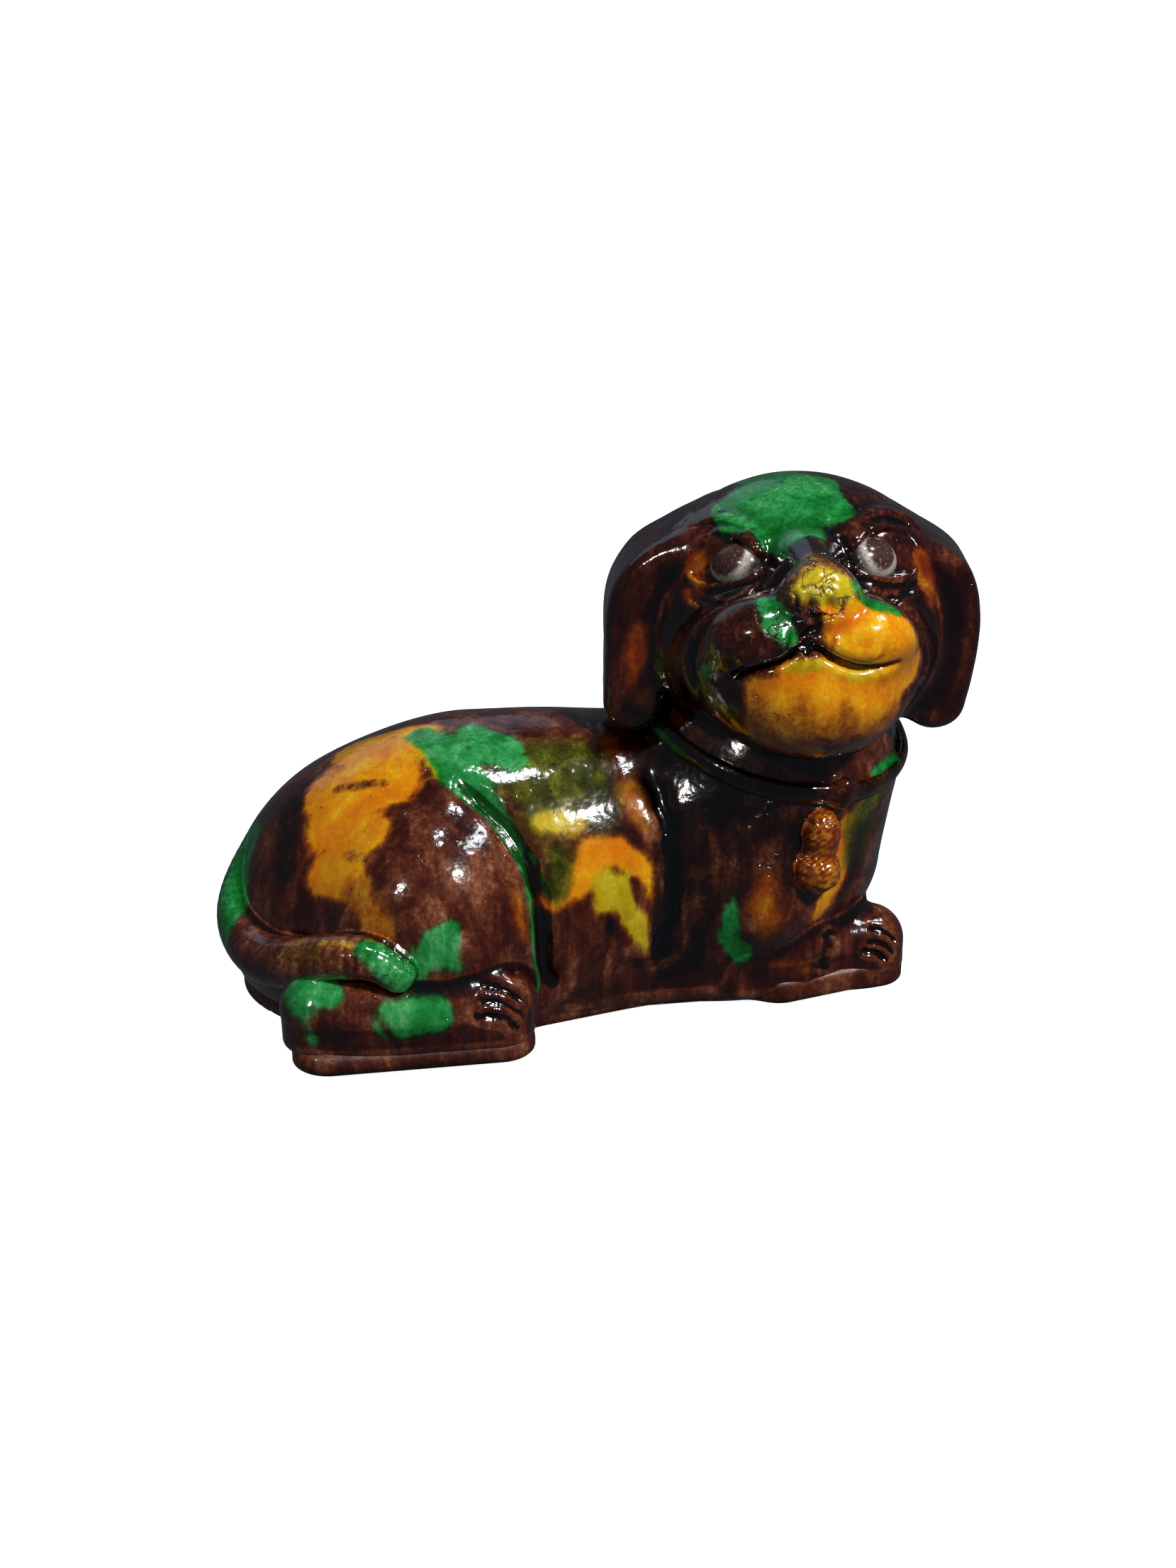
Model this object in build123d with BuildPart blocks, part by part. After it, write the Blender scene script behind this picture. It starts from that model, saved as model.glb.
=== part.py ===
"""A recumbent glazed pottery dog with its head turned to its right, built as a potter luted it together.

Millimetres, +Z up, +X towards the chest, and the dog's right flank towards -Y. The origin is on the resting
face, on the mid-plane of the trunk. Two press-moulded halves of the body stand on a slab; the head is two more
moulded shells; the ears, eyes, tail, feet, forelegs, collar and pendant are solid pieces of clay set onto them.
"""

import os
from math import cos, radians, sin

from build123d import *

# --- driving dimensions: clay thickness -----------------------------------------------------------------
wall = 5.0  # press-moulded walls of the body and of the head
slab_height = 6.0  # flat slab that closes the underside
vent_radius = 4.0  # firing vent through the slab
neck_vent_radius = 5.0  # firing vent between the head and the body

# --- driving dimensions: trunk --------------------------------------------------------------------------
body_height = 72.5  # top of the back above the resting face
rump_length = 53.0  # from the widest place of the rump to its rear end
rump_x = -42.0  # widest place of the rump
haunch_half_width = 51.0  # outside of a thigh from the mid-plane
buttock_half_width = 37.0
waist_half_width = 35.0
shoulder_half_width = 38.0
waist_x = -4.0
shoulder_x = 30.0
chest_x = 50.0  # axis of the chest and neck
chest_y = -3.0
chest_radius = 32.5
neck_radius = 30.0
neck_rise = 12.0  # neck above the top of the back, inside the seat of the head
chest_tuck = 4.0  # the chest and its foot stand in by this from the widest place
breast_corner = (0.62, 0.6)  # shares of the chest's length and of the shoulders' half width
haunch_front = 12.0  # where the haunch starts to narrow, before the widest place of the rump
haunch_taper = 3.0
haunch_back = 6.0  # where the haunch is at its widest, behind the widest place of the rump
buttock_place = 0.72  # share of the way from the widest place to the rear end
flank_fullness = 2.5  # 2 would round the flanks to an ellipse, more fills them out
back_fullness = 2.1  # the same, for the rear end seen from the side

# --- driving dimensions: feet and forelegs --------------------------------------------------------------
foot_width = 17.0
foot_height = 13.5
hind_foot_length = 66.0
hind_foot_reach = 3.5  # how far the foot stands out beyond the haunch
heel_gap = 11.0  # rear end of the rump to the heel
foreleg_length = 58.0
foreleg_height = 17.0
foreleg_inset = 12.0  # axis of a foreleg inside the outline of the shoulder
foreleg_reach = 1.5  # how far the toes stand out beyond the chest
toe_grooves = 3
groove_radius = 0.9
groove_length = 11.0
edge_round = 4.5  # rounding along the top of each foot

# --- driving dimensions: head ---------------------------------------------------------------------------
head_radii = (37.0, 32.5, 37.0)  # across, up, forward
head_shift = (2.5, -9.0)  # middle of the head from the axis of the neck
head_rise = 28.5  # middle of the head above the top of the back
head_heading = -9.0  # turn of the face, from a square right-angle turn, in degrees
head_pitch = 24.0  # the face looks up by this angle
muzzle_radii = (23.0, 18.5, 23.0)
muzzle_drop = 12.0
muzzle_forward = 25.0
nose_radii = (7.5, 6.0, 6.5)
nose_drop = 1.0
nose_sink = 3.0  # how far the middle of the nose lies under the face of the muzzle
split_forward = 2.0  # seam between the two shells of the head
neck_vent_shift = 9.0  # the vent stands behind the axis of the neck, clear of the muzzle

# --- driving dimensions: small pieces -------------------------------------------------------------------
eye_radius = 6.5
eye_spacing = 36.5
eye_rise = 7.5
eye_depth = 3.4
eye_stand_out = 2.4  # how far an eyeball stands out of the face
ear_stand_off = 11.5  # outside of an ear beyond the side of the head
ear_thickness = 14.0  # width of the flap seen from in front of the face
ear_drop = 37.0  # bottom of an ear below the middle of the head
ear_top_drop = 8.0  # root of an ear below the top of the head
ear_shoulder = 8.0  # the flap's outer corner, in from its outside
ear_root = 12.0  # how far the root reaches into the head
ear_fold = 6.0  # underside of the root above the middle of the head
ear_depth = 27.0  # front edge to back edge
ear_forward = 11.0  # front edge before the middle of the head
ear_round = 3.5
tail_radius = 6.2
tail_root_drop = 28.0  # root of the tail below the top of the back
tail_behind = [  # from the rear end, from the mid-plane, and above the top of the hind foot
    (1, 6, 11),
    (1, 17, 3),
    (6, 30, 3),
]
tail_beside = [  # from the rear end, beyond the haunch, and above the top of the hind foot
    (17, -9, 8),
    (30, -2, 11),
    (41, 1, 7),
    (48, 1, 2),
]
collar_radius = 3.0
collar_drop = 8.0  # middle of the collar below the top of the back
collar_tilt = 11.0  # the collar hangs lower under the chin, in degrees
collar_stand_off = 1.35  # middle of the band outside the skin of the neck
collar_seam = 37.0  # the ring's own seam is turned away from the neck's
pendant_shift = 4.0  # pendant towards the toes from the axis of the neck
pendant_stand_off = 1.0
pendant_length = 20.0
pendant_radius = 5.8
bead_radius = 4.6  # upper lobe of the pendant
seat = 0.1  # slip left between two curved pieces

# --- shared places --------------------------------------------------------------------------------------
face_plane = Plane(
    origin=(chest_x + head_shift[0], chest_y + head_shift[1], body_height + head_rise),
    x_dir=(cos(radians(head_heading)), sin(radians(head_heading)), 0),
    z_dir=(
        sin(radians(head_heading)) * cos(radians(head_pitch)),
        -cos(radians(head_heading)) * cos(radians(head_pitch)),
        sin(radians(head_pitch)),
    ),
)
ear_plane = Plane(
    origin=face_plane.origin,
    x_dir=face_plane.x_dir,
    z_dir=(sin(radians(head_heading)), -cos(radians(head_heading)), 0),
)
collar_ring_radius = (chest_radius + neck_radius) / 2 + collar_stand_off
collar_plane = Plane.XY.offset(body_height - collar_drop) * Location(
    (chest_x, chest_y, 0), (collar_tilt, 0, collar_seam)
)
foot_line = haunch_half_width + hind_foot_reach - foot_width / 2  # axis of a hind foot from the mid-plane
rear_x = rump_x - rump_length
hind_foot_middle = rear_x + heel_gap + hind_foot_length / 2
foreleg_line = shoulder_half_width - foreleg_inset  # axis of a foreleg from the mid-plane
foreleg_middle = chest_x + chest_radius + foreleg_reach - foreleg_length / 2
ear_spread = head_radii[0] + ear_stand_off  # outside of an ear from the middle of the head
section_heights = (0, 0.25, 0.5, 0.7, 0.84, 0.93, 0.98, 0.998)  # shares of the trunk's height


def ball(plane, centre, radii):
    """A solid ball stretched to three radii along the axes of a plane."""
    with BuildPart() as made:
        Sphere(1)
        scale(by=tuple(radii))
    return plane.location * Pos(*centre) * made.part


def trunk_outline(share, inset):
    """Half of the trunk's plan at a share of its height, from the chest round the flank to the rear end."""
    flank = (1 - share**flank_fullness) ** (1 / flank_fullness)
    end = (1 - share**back_fullness) ** (1 / back_fullness)
    rear = rump_x - (rump_length - inset) * end
    front = chest_x + (chest_radius - chest_tuck - inset) * end
    corner_x = chest_x + breast_corner[0] * (front - chest_x)
    return [
        (front, 0),
        (corner_x, breast_corner[1] * (shoulder_half_width - inset) * flank),
        (shoulder_x, (shoulder_half_width - inset) * flank),
        (waist_x, (waist_half_width - inset) * flank),
        (rump_x + haunch_front, (haunch_half_width - haunch_taper - inset) * flank),
        (rump_x - haunch_back, (haunch_half_width - inset) * flank),
        (rump_x + buttock_place * (rear - rump_x), (buttock_half_width - inset) * flank),
        (rear, 0),
    ]


def trunk_solid(inset):
    """The whole trunk with its neck, with every face moved in by the inset."""
    rise = body_height - inset - slab_height
    top = body_height + neck_rise
    sections = []
    for share in section_heights:
        half = trunk_outline(share, inset)
        around = half + [(x, -y) for x, y in half[-2:0:-1]]
        with BuildSketch(Plane.XY.offset(slab_height + share * rise)) as section:
            with BuildLine():
                Spline(*around, periodic=True)
            make_face()
        sections.append(section.sketch)
    with BuildPart() as trunk:
        loft(sections=sections)
        with BuildSketch(Plane.XZ.offset(-chest_y)):
            with BuildLine():
                swell = Spline(
                    (chest_x + chest_radius - chest_tuck - inset, slab_height),
                    (chest_x + chest_radius - inset, body_height / 2),
                    (chest_x + neck_radius - inset, top),
                )
                Polyline(swell @ 1, (chest_x, top), (chest_x, slab_height), swell @ 0)
            make_face()
        revolve(axis=Axis((chest_x, chest_y, 0), (0, 0, 1)))
    return trunk.part


def head_solid(inset):
    """The head with its muzzle, with every face moved in by the inset."""
    swells = [
        ball(face_plane, (0, 0, 0), [r - inset for r in head_radii]),
        ball(face_plane, (0, -muzzle_drop, muzzle_forward), [r - inset for r in muzzle_radii]),
    ]
    with BuildPart() as head:
        add(swells)
    return head.part


trunk_outside = trunk_solid(0)
trunk_seat = trunk_solid(-seat)
head_outside = head_solid(0)
head_seat = head_solid(-seat)
pieces = {}


def keep_piece(name, part):
    """Labels a finished piece and puts it on the list of what is written out."""
    part.label = name
    pieces[name] = part


# --- slab -----------------------------------------------------------------------------------------------
with BuildPart() as base_slab:
    with BuildSketch() as footprint:
        half_plan = trunk_outline(0, 0)
        with BuildLine():
            Spline(*half_plan, *[(x, -y) for x, y in half_plan[-2:0:-1]], periodic=True)
        make_face()
        with Locations((chest_x, chest_y)):
            Circle(chest_radius - chest_tuck / 2)
        with Locations((hind_foot_middle, -foot_line), (hind_foot_middle, foot_line)):
            SlotOverall(hind_foot_length, foot_width)
        with Locations((foreleg_middle, -foreleg_line), (foreleg_middle, foreleg_line)):
            SlotOverall(foreleg_length, foot_width)
    extrude(amount=slab_height)
    with Locations((rump_x / 2, 0, slab_height)):
        Hole(vent_radius)
keep_piece("base_slab", base_slab.part)

# --- body halves ----------------------------------------------------------------------------------------
with BuildPart() as body_shell:
    add(trunk_outside)
    add(trunk_solid(wall), mode=Mode.SUBTRACT)
    add(head_seat, mode=Mode.SUBTRACT)
mid_plane = Plane.XZ.rotated((180, 0, 0))
for name, side in (("body_right_half", Keep.BOTTOM), ("body_left_half", Keep.TOP)):
    with BuildPart() as half:
        add(body_shell.part)
        split(bisect_by=mid_plane, keep=side)
    keep_piece(name, half.part)


# --- tail -----------------------------------------------------------------------------------------------
foot_top = slab_height + foot_height
tail_route = [(rear_x + 1.5 * tail_radius, tail_radius / 2, body_height - tail_root_drop)]
tail_route += [(rear_x + x, -y, foot_top + rise) for x, y, rise in tail_behind]
tail_route += [(rear_x + x, -haunch_half_width - y, foot_top + rise) for x, y, rise in tail_beside]
with BuildPart() as tail_roll:
    with BuildLine() as tail_line:
        Spline(*tail_route)
    with BuildSketch(Plane(origin=tail_line.line @ 0, z_dir=tail_line.line % 0)):
        Circle(tail_radius)
    sweep()
    with Locations(tail_line.line @ 0, tail_line.line @ 1):
        Sphere(tail_radius)
    add(trunk_seat, mode=Mode.SUBTRACT)


# --- feet -----------------------------------------------------------------------------------------------
def foot(middle_x, line_y, length, height):
    """A long rounded foot on the slab, with grooves between the toes at its +X end."""
    tip_x = middle_x + length / 2
    gap = foot_width / (toe_grooves + 1)
    with BuildPart() as made:
        with BuildSketch(Plane.XY.offset(slab_height)):
            with Locations((middle_x, line_y)):
                SlotOverall(length, foot_width)
        extrude(amount=height)
        fillet(made.faces().sort_by(Axis.Z)[-1].edges(), radius=edge_round)
        with Locations((tip_x - groove_length / 2 - edge_round / 2, line_y, slab_height + height)):
            with GridLocations(0, gap, 1, toe_grooves):
                Cylinder(groove_radius, groove_length, rotation=(0, 90, 0), mode=Mode.SUBTRACT)
        add(trunk_seat, mode=Mode.SUBTRACT)
        add(tail_roll.part, mode=Mode.SUBTRACT)
    return made.part


for name, side in (("right", -1), ("left", 1)):
    keep_piece(f"{name}_hind_foot", foot(hind_foot_middle, side * foot_line, hind_foot_length, foot_height))
    keep_piece(f"{name}_foreleg", foot(foreleg_middle, side * foreleg_line, foreleg_length, foreleg_height))
keep_piece("tail", tail_roll.part)

# --- head shells ----------------------------------------------------------------------------------------
eye_surface = head_radii[2] * (
    1 - (eye_spacing / 2 / head_radii[0]) ** 2 - (eye_rise / head_radii[1]) ** 2
) ** 0.5
muzzle_share = (muzzle_drop - nose_drop) / muzzle_radii[1]
nose_forward = muzzle_forward + muzzle_radii[2] * (1 - muzzle_share**2) ** 0.5 - nose_sink


def eye_ball(side, swell):
    """A flattened pellet that faces along the line from the middle of the head through its place."""
    surface = Vector(side * eye_spacing / 2, eye_rise, eye_surface)
    looks = Plane(origin=surface, z_dir=surface.normalized())
    depth = eye_depth + swell
    round_radius = eye_radius + swell
    centre = (0, 0, eye_stand_out - eye_depth)
    return face_plane.location * ball(looks, centre, (round_radius, round_radius, depth))


with BuildPart() as head_shell:
    add(head_outside)
    add(ball(face_plane, (0, -nose_drop, nose_forward), nose_radii))
    add(head_solid(wall), mode=Mode.SUBTRACT)
    add([eye_ball(side, seat) for side in (-1, 1)], mode=Mode.SUBTRACT)
    with Locations((chest_x, chest_y + neck_vent_shift, body_height)):
        Cylinder(neck_vent_radius, 2 * wall + 2 * neck_rise, mode=Mode.SUBTRACT)
head_seam = face_plane.offset(split_forward)
for name, side in (("face_shell", Keep.TOP), ("skull_shell", Keep.BOTTOM)):
    with BuildPart() as shell:
        add(head_shell.part)
        split(bisect_by=head_seam, keep=side)
    keep_piece(name, shell.part)
for name, side in (("right_eye", -1), ("left_eye", 1)):
    keep_piece(name, eye_ball(side, 0))

# --- ears -----------------------------------------------------------------------------------------------
for name, side in (("right_ear", -1), ("left_ear", 1)):
    inner = ear_spread - ear_thickness
    outline = [
        (side * (inner - ear_root), head_radii[1] - ear_top_drop),
        (side * (ear_spread - ear_shoulder), head_radii[1] / 2),
        (side * ear_spread, ear_fold / 2),
        (side * ear_spread, ear_fold - ear_drop),
        (side * inner, -ear_drop),
        (side * inner, 0),
        (side * (inner - ear_root), ear_fold),
    ]
    with BuildPart() as ear:
        with BuildSketch(ear_plane.offset(ear_forward)):
            with BuildLine():
                Polyline(*outline, close=True)
            make_face()
        extrude(amount=-ear_depth)
        fillet(ear.faces().filter_by(ear_plane).edges(), radius=ear_round)
        add(head_seat, mode=Mode.SUBTRACT)
        add(trunk_seat, mode=Mode.SUBTRACT)
    keep_piece(name, ear.part)

# --- collar and pendant ---------------------------------------------------------------------------------
with BuildPart() as collar:
    with Locations(collar_plane):
        Torus(collar_ring_radius, collar_radius)
    add(trunk_seat, mode=Mode.SUBTRACT)
    add(head_seat, mode=Mode.SUBTRACT)
keep_piece("collar", collar.part)
pendant_x = chest_x + pendant_shift
pendant_y = chest_y - chest_radius - pendant_stand_off
pendant_top = body_height - collar_drop - collar_ring_radius * sin(radians(collar_tilt)) - collar_radius
with BuildPart() as pendant:
    with Locations((pendant_x, pendant_y, pendant_top + pendant_radius - pendant_length)):
        Sphere(pendant_radius)
    with Locations((pendant_x, pendant_y, pendant_top - bead_radius)):
        Sphere(bead_radius)
    with Locations((pendant_x, pendant_y, pendant_top - bead_radius / 2)):
        Cylinder(collar_radius / 2, bead_radius + collar_radius)
    add(trunk_seat, mode=Mode.SUBTRACT)
    with Locations(collar_plane):
        Torus(collar_ring_radius, collar_radius + seat, mode=Mode.SUBTRACT)
keep_piece("pendant", pendant.part)

os.makedirs("parts", exist_ok=True)
for name, part in pieces.items():
    export_step(part, f"parts/{name}.step")
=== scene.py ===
import math

import bpy
import numpy as np
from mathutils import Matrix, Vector


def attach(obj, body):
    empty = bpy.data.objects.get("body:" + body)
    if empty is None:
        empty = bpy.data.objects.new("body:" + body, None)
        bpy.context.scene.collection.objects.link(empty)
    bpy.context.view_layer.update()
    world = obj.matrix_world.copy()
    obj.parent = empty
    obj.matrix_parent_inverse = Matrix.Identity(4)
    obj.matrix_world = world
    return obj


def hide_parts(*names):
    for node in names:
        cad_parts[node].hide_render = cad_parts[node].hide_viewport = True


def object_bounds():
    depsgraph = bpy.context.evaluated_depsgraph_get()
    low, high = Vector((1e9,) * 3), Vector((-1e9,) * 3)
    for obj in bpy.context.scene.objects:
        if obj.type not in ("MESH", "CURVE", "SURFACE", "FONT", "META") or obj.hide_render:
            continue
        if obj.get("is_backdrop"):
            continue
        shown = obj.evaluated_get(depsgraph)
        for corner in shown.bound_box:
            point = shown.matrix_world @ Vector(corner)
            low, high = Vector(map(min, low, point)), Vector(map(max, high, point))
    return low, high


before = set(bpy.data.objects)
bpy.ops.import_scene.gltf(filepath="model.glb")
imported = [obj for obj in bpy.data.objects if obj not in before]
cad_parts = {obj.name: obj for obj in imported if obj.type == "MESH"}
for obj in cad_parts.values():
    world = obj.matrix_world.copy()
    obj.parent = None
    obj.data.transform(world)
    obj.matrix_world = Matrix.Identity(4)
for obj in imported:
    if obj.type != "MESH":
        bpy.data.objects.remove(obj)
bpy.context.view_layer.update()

# A recumbent pottery dog under a running three-colour glaze. Every lump of clay is a field in millimetres, with
# its skin cast from an axis inside it; creases, lids, lips and toes are then tooled into the skin.

MM = 0.001
DETAIL = 1.0     # share of the rings and spokes that each skin gets
HALVINGS = 17                           # steps of bisection for each ray


# --- clay: fields and how they join ---------------------------------------------------------------------
def vec(*xyz):
    return np.array(xyz, float)


def unit(vectors):
    return vectors / np.linalg.norm(vectors, axis=-1, keepdims=True)


def turned(heading=0.0, pitch=0.0, roll=0.0):
    """Axes (columns) turned about Z by the heading, then about Y by the pitch, then about X by the roll."""
    h, p, r = (math.radians(v) for v in (heading, pitch, roll))
    z = np.array([[math.cos(h), -math.sin(h), 0], [math.sin(h), math.cos(h), 0], [0, 0, 1]])
    y = np.array([[math.cos(p), 0, math.sin(p)], [0, 1, 0], [-math.sin(p), 0, math.cos(p)]])
    x = np.array([[1, 0, 0], [0, math.cos(r), -math.sin(r)], [0, math.sin(r), math.cos(r)]])
    return z @ y @ x


def egg(p, centre, radii, axes=None):
    """Distance to an egg, near enough: scaled length times (scaled length - 1), over the slope of that length."""
    q = p - vec(*centre) + 1e-4
    if axes is not None:
        q = q @ axes
    radii = vec(*radii)
    scaled = np.linalg.norm(q / radii, axis=1)
    slope = np.linalg.norm(q / radii**2, axis=1)
    return scaled * (scaled - 1) / slope


def coil(p, points, radii):
    """Distance to a rolled coil of clay: the nearest of a chain of tapered capsules through the points."""
    points = np.asarray(points, float)
    best = np.full(len(p), 1e9)
    for a, b, ra, rb in zip(points[:-1], points[1:], radii[:-1], radii[1:]):
        run = b - a
        t = np.clip((p - a) @ run / (run @ run), 0, 1)
        best = np.minimum(best, np.linalg.norm(p - a - t[:, None] * run, axis=1) - ra - t * (rb - ra))
    return best


def joined(a, b, fillet):
    """Two fields joined with a soft fillet: the lesser of the two, less a square term where they are close."""
    close = np.maximum(fillet - np.abs(a - b), 0) / fillet
    return np.minimum(a, b) - close * close * fillet / 4


def cut(a, b, fillet):
    """The part of a that lies inside b, with the edge rounded."""
    return -joined(-a, -b, fillet)


def smooth_path(points, count):
    """A Catmull-Rom curve through the points, resampled evenly by count."""
    points = np.asarray(points, float)
    padded = np.vstack([2 * points[0] - points[1], points, 2 * points[-1] - points[-2]])
    t = np.linspace(0, len(points) - 1 - 1e-9, count * 4)
    i = t.astype(int)
    f = (t - i)[:, None]
    p0, p1, p2, p3 = (padded[i + k] for k in range(4))
    curve = 0.5 * (2 * p1 + (p2 - p0) * f + (2 * p0 - 5 * p1 + 4 * p2 - p3) * f**2 + (3 * p1 - p0 - 3 * p2 + p3) * f**3)
    along = np.concatenate([[0], np.cumsum(np.linalg.norm(np.diff(curve, axis=0), axis=1))])
    even = np.linspace(0, along[-1], count)
    return np.stack([np.interp(even, along, curve[:, k]) for k in range(curve.shape[1])], axis=1)


def blend_numbers(values, count):
    """A list of numbers spread evenly and resampled by count."""
    return np.interp(np.linspace(0, 1, count), np.linspace(0, 1, len(values)), values)


# --- clay: casting a skin -------------------------------------------------------------------------------
def cast_skin(field, axis, across, rings, spokes, reach, ends=(0.25, 0.25), crowd=0.0):
    """A closed skin on a grid of rings and spokes.

    Rays leave the axis square to it, fan out round both of its ends, and turn once about it from ring to ring.
    Bisection between the axis and the reach finds where each ray leaves the clay, for all rays at once. With a
    crowd above 0 the rings draw together towards the first end.
    """
    rings, spokes = int(rings * DETAIL), int(spokes * DETAIL)
    axis = np.asarray(axis, float)
    share = np.linspace(0, 1, rings)
    share = share**(1 + crowd)
    tilt = np.interp(share, [0, ends[0], 1 - ends[1], 1], [-90, 0, 0, 90])
    tilt = np.radians(tilt)[:, None, None]
    place = np.clip((share - ends[0]) / max(1 - ends[0] - ends[1], 1e-6), 0, 1)
    route = smooth_path(axis, 200) if len(axis) > 2 else axis
    along = np.linspace(0, 1, len(route))
    start = np.stack([np.interp(place, along, route[:, k]) for k in range(3)], axis=1)
    ahead = unit(np.gradient(route, axis=0))
    forward = unit(np.stack([np.interp(place, along, ahead[:, k]) for k in range(3)], axis=1))
    side = unit(vec(*across) - forward * (forward @ vec(*across))[:, None])
    other = np.cross(forward, side)
    turn = np.linspace(0, 2 * np.pi, spokes, endpoint=False)[None, :, None]
    fan = np.cos(turn) * side[:, None] + np.sin(turn) * other[:, None]
    rays = np.sin(tilt) * forward[:, None] + np.cos(tilt) * fan
    starts = np.broadcast_to(start[:, None], rays.shape).reshape(-1, 3)
    rays = rays.reshape(-1, 3)
    low = np.zeros(len(rays))
    high = np.full(len(rays), float(reach))
    for _ in range(HALVINGS):
        middle = (low + high) / 2
        inside = field(starts + rays * middle[:, None]) < 0
        low = np.where(inside, middle, low)
        high = np.where(inside, high, middle)
    return (starts + rays * ((low + high) / 2)[:, None]).reshape(rings, spokes, 3)


def skin_normals(grid):
    """Outward normals of a grid: the cross product of its differences along rings and spokes."""
    down = np.gradient(grid, axis=0)
    wide = (np.roll(grid, -1, axis=1) - np.roll(grid, 1, axis=1)) / 2
    normal = np.cross(wide, down)
    normal[0], normal[-1] = normal[1].mean(axis=0), normal[-2].mean(axis=0)
    size = np.linalg.norm(normal, axis=2, keepdims=True)
    normal = normal / np.maximum(size, 1e-12)
    middle = grid.mean(axis=(0, 1))
    outward = np.sign(((grid - middle) * normal).sum(axis=2).mean())
    return normal * outward


def on_skin(grid, marks, view):
    """Marks given across and up in a view are carried along its sight line to the nearest side of the skin."""
    origin, right, up, ahead = view
    local = grid.reshape(-1, 3) - origin
    flat = np.stack([local @ right, local @ up], axis=1)
    depth = local @ ahead
    found = []
    for mark in marks:
        apart = ((flat - mark) ** 2).sum(axis=1)
        near = apart < apart.min() + 2.0
        found.append(np.flatnonzero(near)[np.argmax(depth[near])])
    return grid.reshape(-1, 3)[found]


def line_on(grid, marks, view, count=36):
    """A smooth line through marks in a view, laid on the skin."""
    path = on_skin(grid, smooth_path(marks, count), view)
    soft = path.copy()
    soft[1:-1] = (path[:-2] + 2 * path[1:-1] + path[2:]) / 4
    return soft


def away_from(points, path):
    """Distance from each point to a line of short runs, and how far along the line its nearest place is, 0 to 1."""
    best = np.full(len(points), 1e9)
    where = np.zeros(len(points))
    for i, (a, b) in enumerate(zip(path[:-1], path[1:])):
        run = b - a
        t = np.clip((points - a) @ run / max(run @ run, 1e-9), 0, 1)
        apart = np.linalg.norm(points - a - t[:, None] * run, axis=1)
        nearer = apart < best
        best = np.where(nearer, apart, best)
        where = np.where(nearer, (i + t) / (len(path) - 1), where)
    return best, where


def tool(grid, path, stroke, fade=0.12):
    """A tooled line: the skin sinks (or rises, with a depth under 0) along its normal by the depth times a bell
    curve of the distance to the line, and the line dies out over the fade at both of its ends. A stroke is the
    bell's width and the depth, in mm."""
    width, depth = stroke
    flat = grid.reshape(-1, 3)
    low, high = path.min(axis=0) - 3 * width, path.max(axis=0) + 3 * width
    near = np.all((flat > low) & (flat < high), axis=1)
    apart, where = away_from(flat[near], path)
    ends = np.clip(np.minimum(where, 1 - where) / max(fade, 1e-6), 0, 1) if fade else 1.0
    ends = ends * ends * (3 - 2 * ends) if fade else 1.0
    push = np.zeros(len(flat))
    push[near] = -depth * np.exp(-((apart / width) ** 2)) * ends
    return grid + skin_normals(grid) * push.reshape(grid.shape[:2])[..., None]


def dab(grid, centre, radii, height):
    """A dab pressed on or in: the skin moves along its normal by the height times a bell curve of scaled distance."""
    q = grid.reshape(-1, 3) - centre
    push = height * np.exp(-((q / vec(*radii)) ** 2).sum(axis=1))
    return grid + skin_normals(grid) * push.reshape(grid.shape[:2])[..., None]


def hand_wobble(grid, size, amount, seed):
    """Uneven hand finishing: waves of three lengths in turned directions, added along the normal."""
    rng = np.random.default_rng(seed)
    flat = grid.reshape(-1, 3)
    push = np.zeros(len(flat))
    for octave in range(3):
        for _ in range(5):
            way = rng.normal(size=3)
            way *= 2 * np.pi * 1.9**octave / size / np.linalg.norm(way)
            push += np.sin(flat @ way + rng.uniform(0, 6.28)) / 5 / 1.7**octave
    return grid + skin_normals(grid) * (amount * push).reshape(grid.shape[:2])[..., None]


def hollows(grid, stride=3):
    """How hollow the skin is at each point: its neighbours' mean place above it along the normal, in millimetres."""
    stride = max(1, int(stride * DETAIL))
    up = np.concatenate([np.repeat(grid[:1], stride, axis=0), grid[:-stride]])
    down = np.concatenate([grid[stride:], np.repeat(grid[-1:], stride, axis=0)])
    around = (up + down + np.roll(grid, stride, axis=1) + np.roll(grid, -stride, axis=1)) / 4
    return ((around - grid) * skin_normals(grid)).sum(axis=2)


def keep(mesh, name, values):
    """One number per vertex, kept on the mesh for its material."""
    mesh.attributes.new(name, "FLOAT", "POINT").data.foreach_set("value", np.asarray(values, np.float32))


def placed(name, data):
    """An object made of the data, in the scene."""
    made = bpy.data.objects.new(name, data)
    bpy.context.scene.collection.objects.link(made)
    return made


def new_piece(name, points, faces, hollow):
    """A smooth mesh from points in mm, in the scene, with how hollow it is at each point."""
    mesh = bpy.data.meshes.new(name)
    mesh.from_pydata((points * MM).tolist(), [], faces)
    mesh.shade_smooth()
    keep(mesh, "hollow", hollow)
    return placed(name, mesh)


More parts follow.
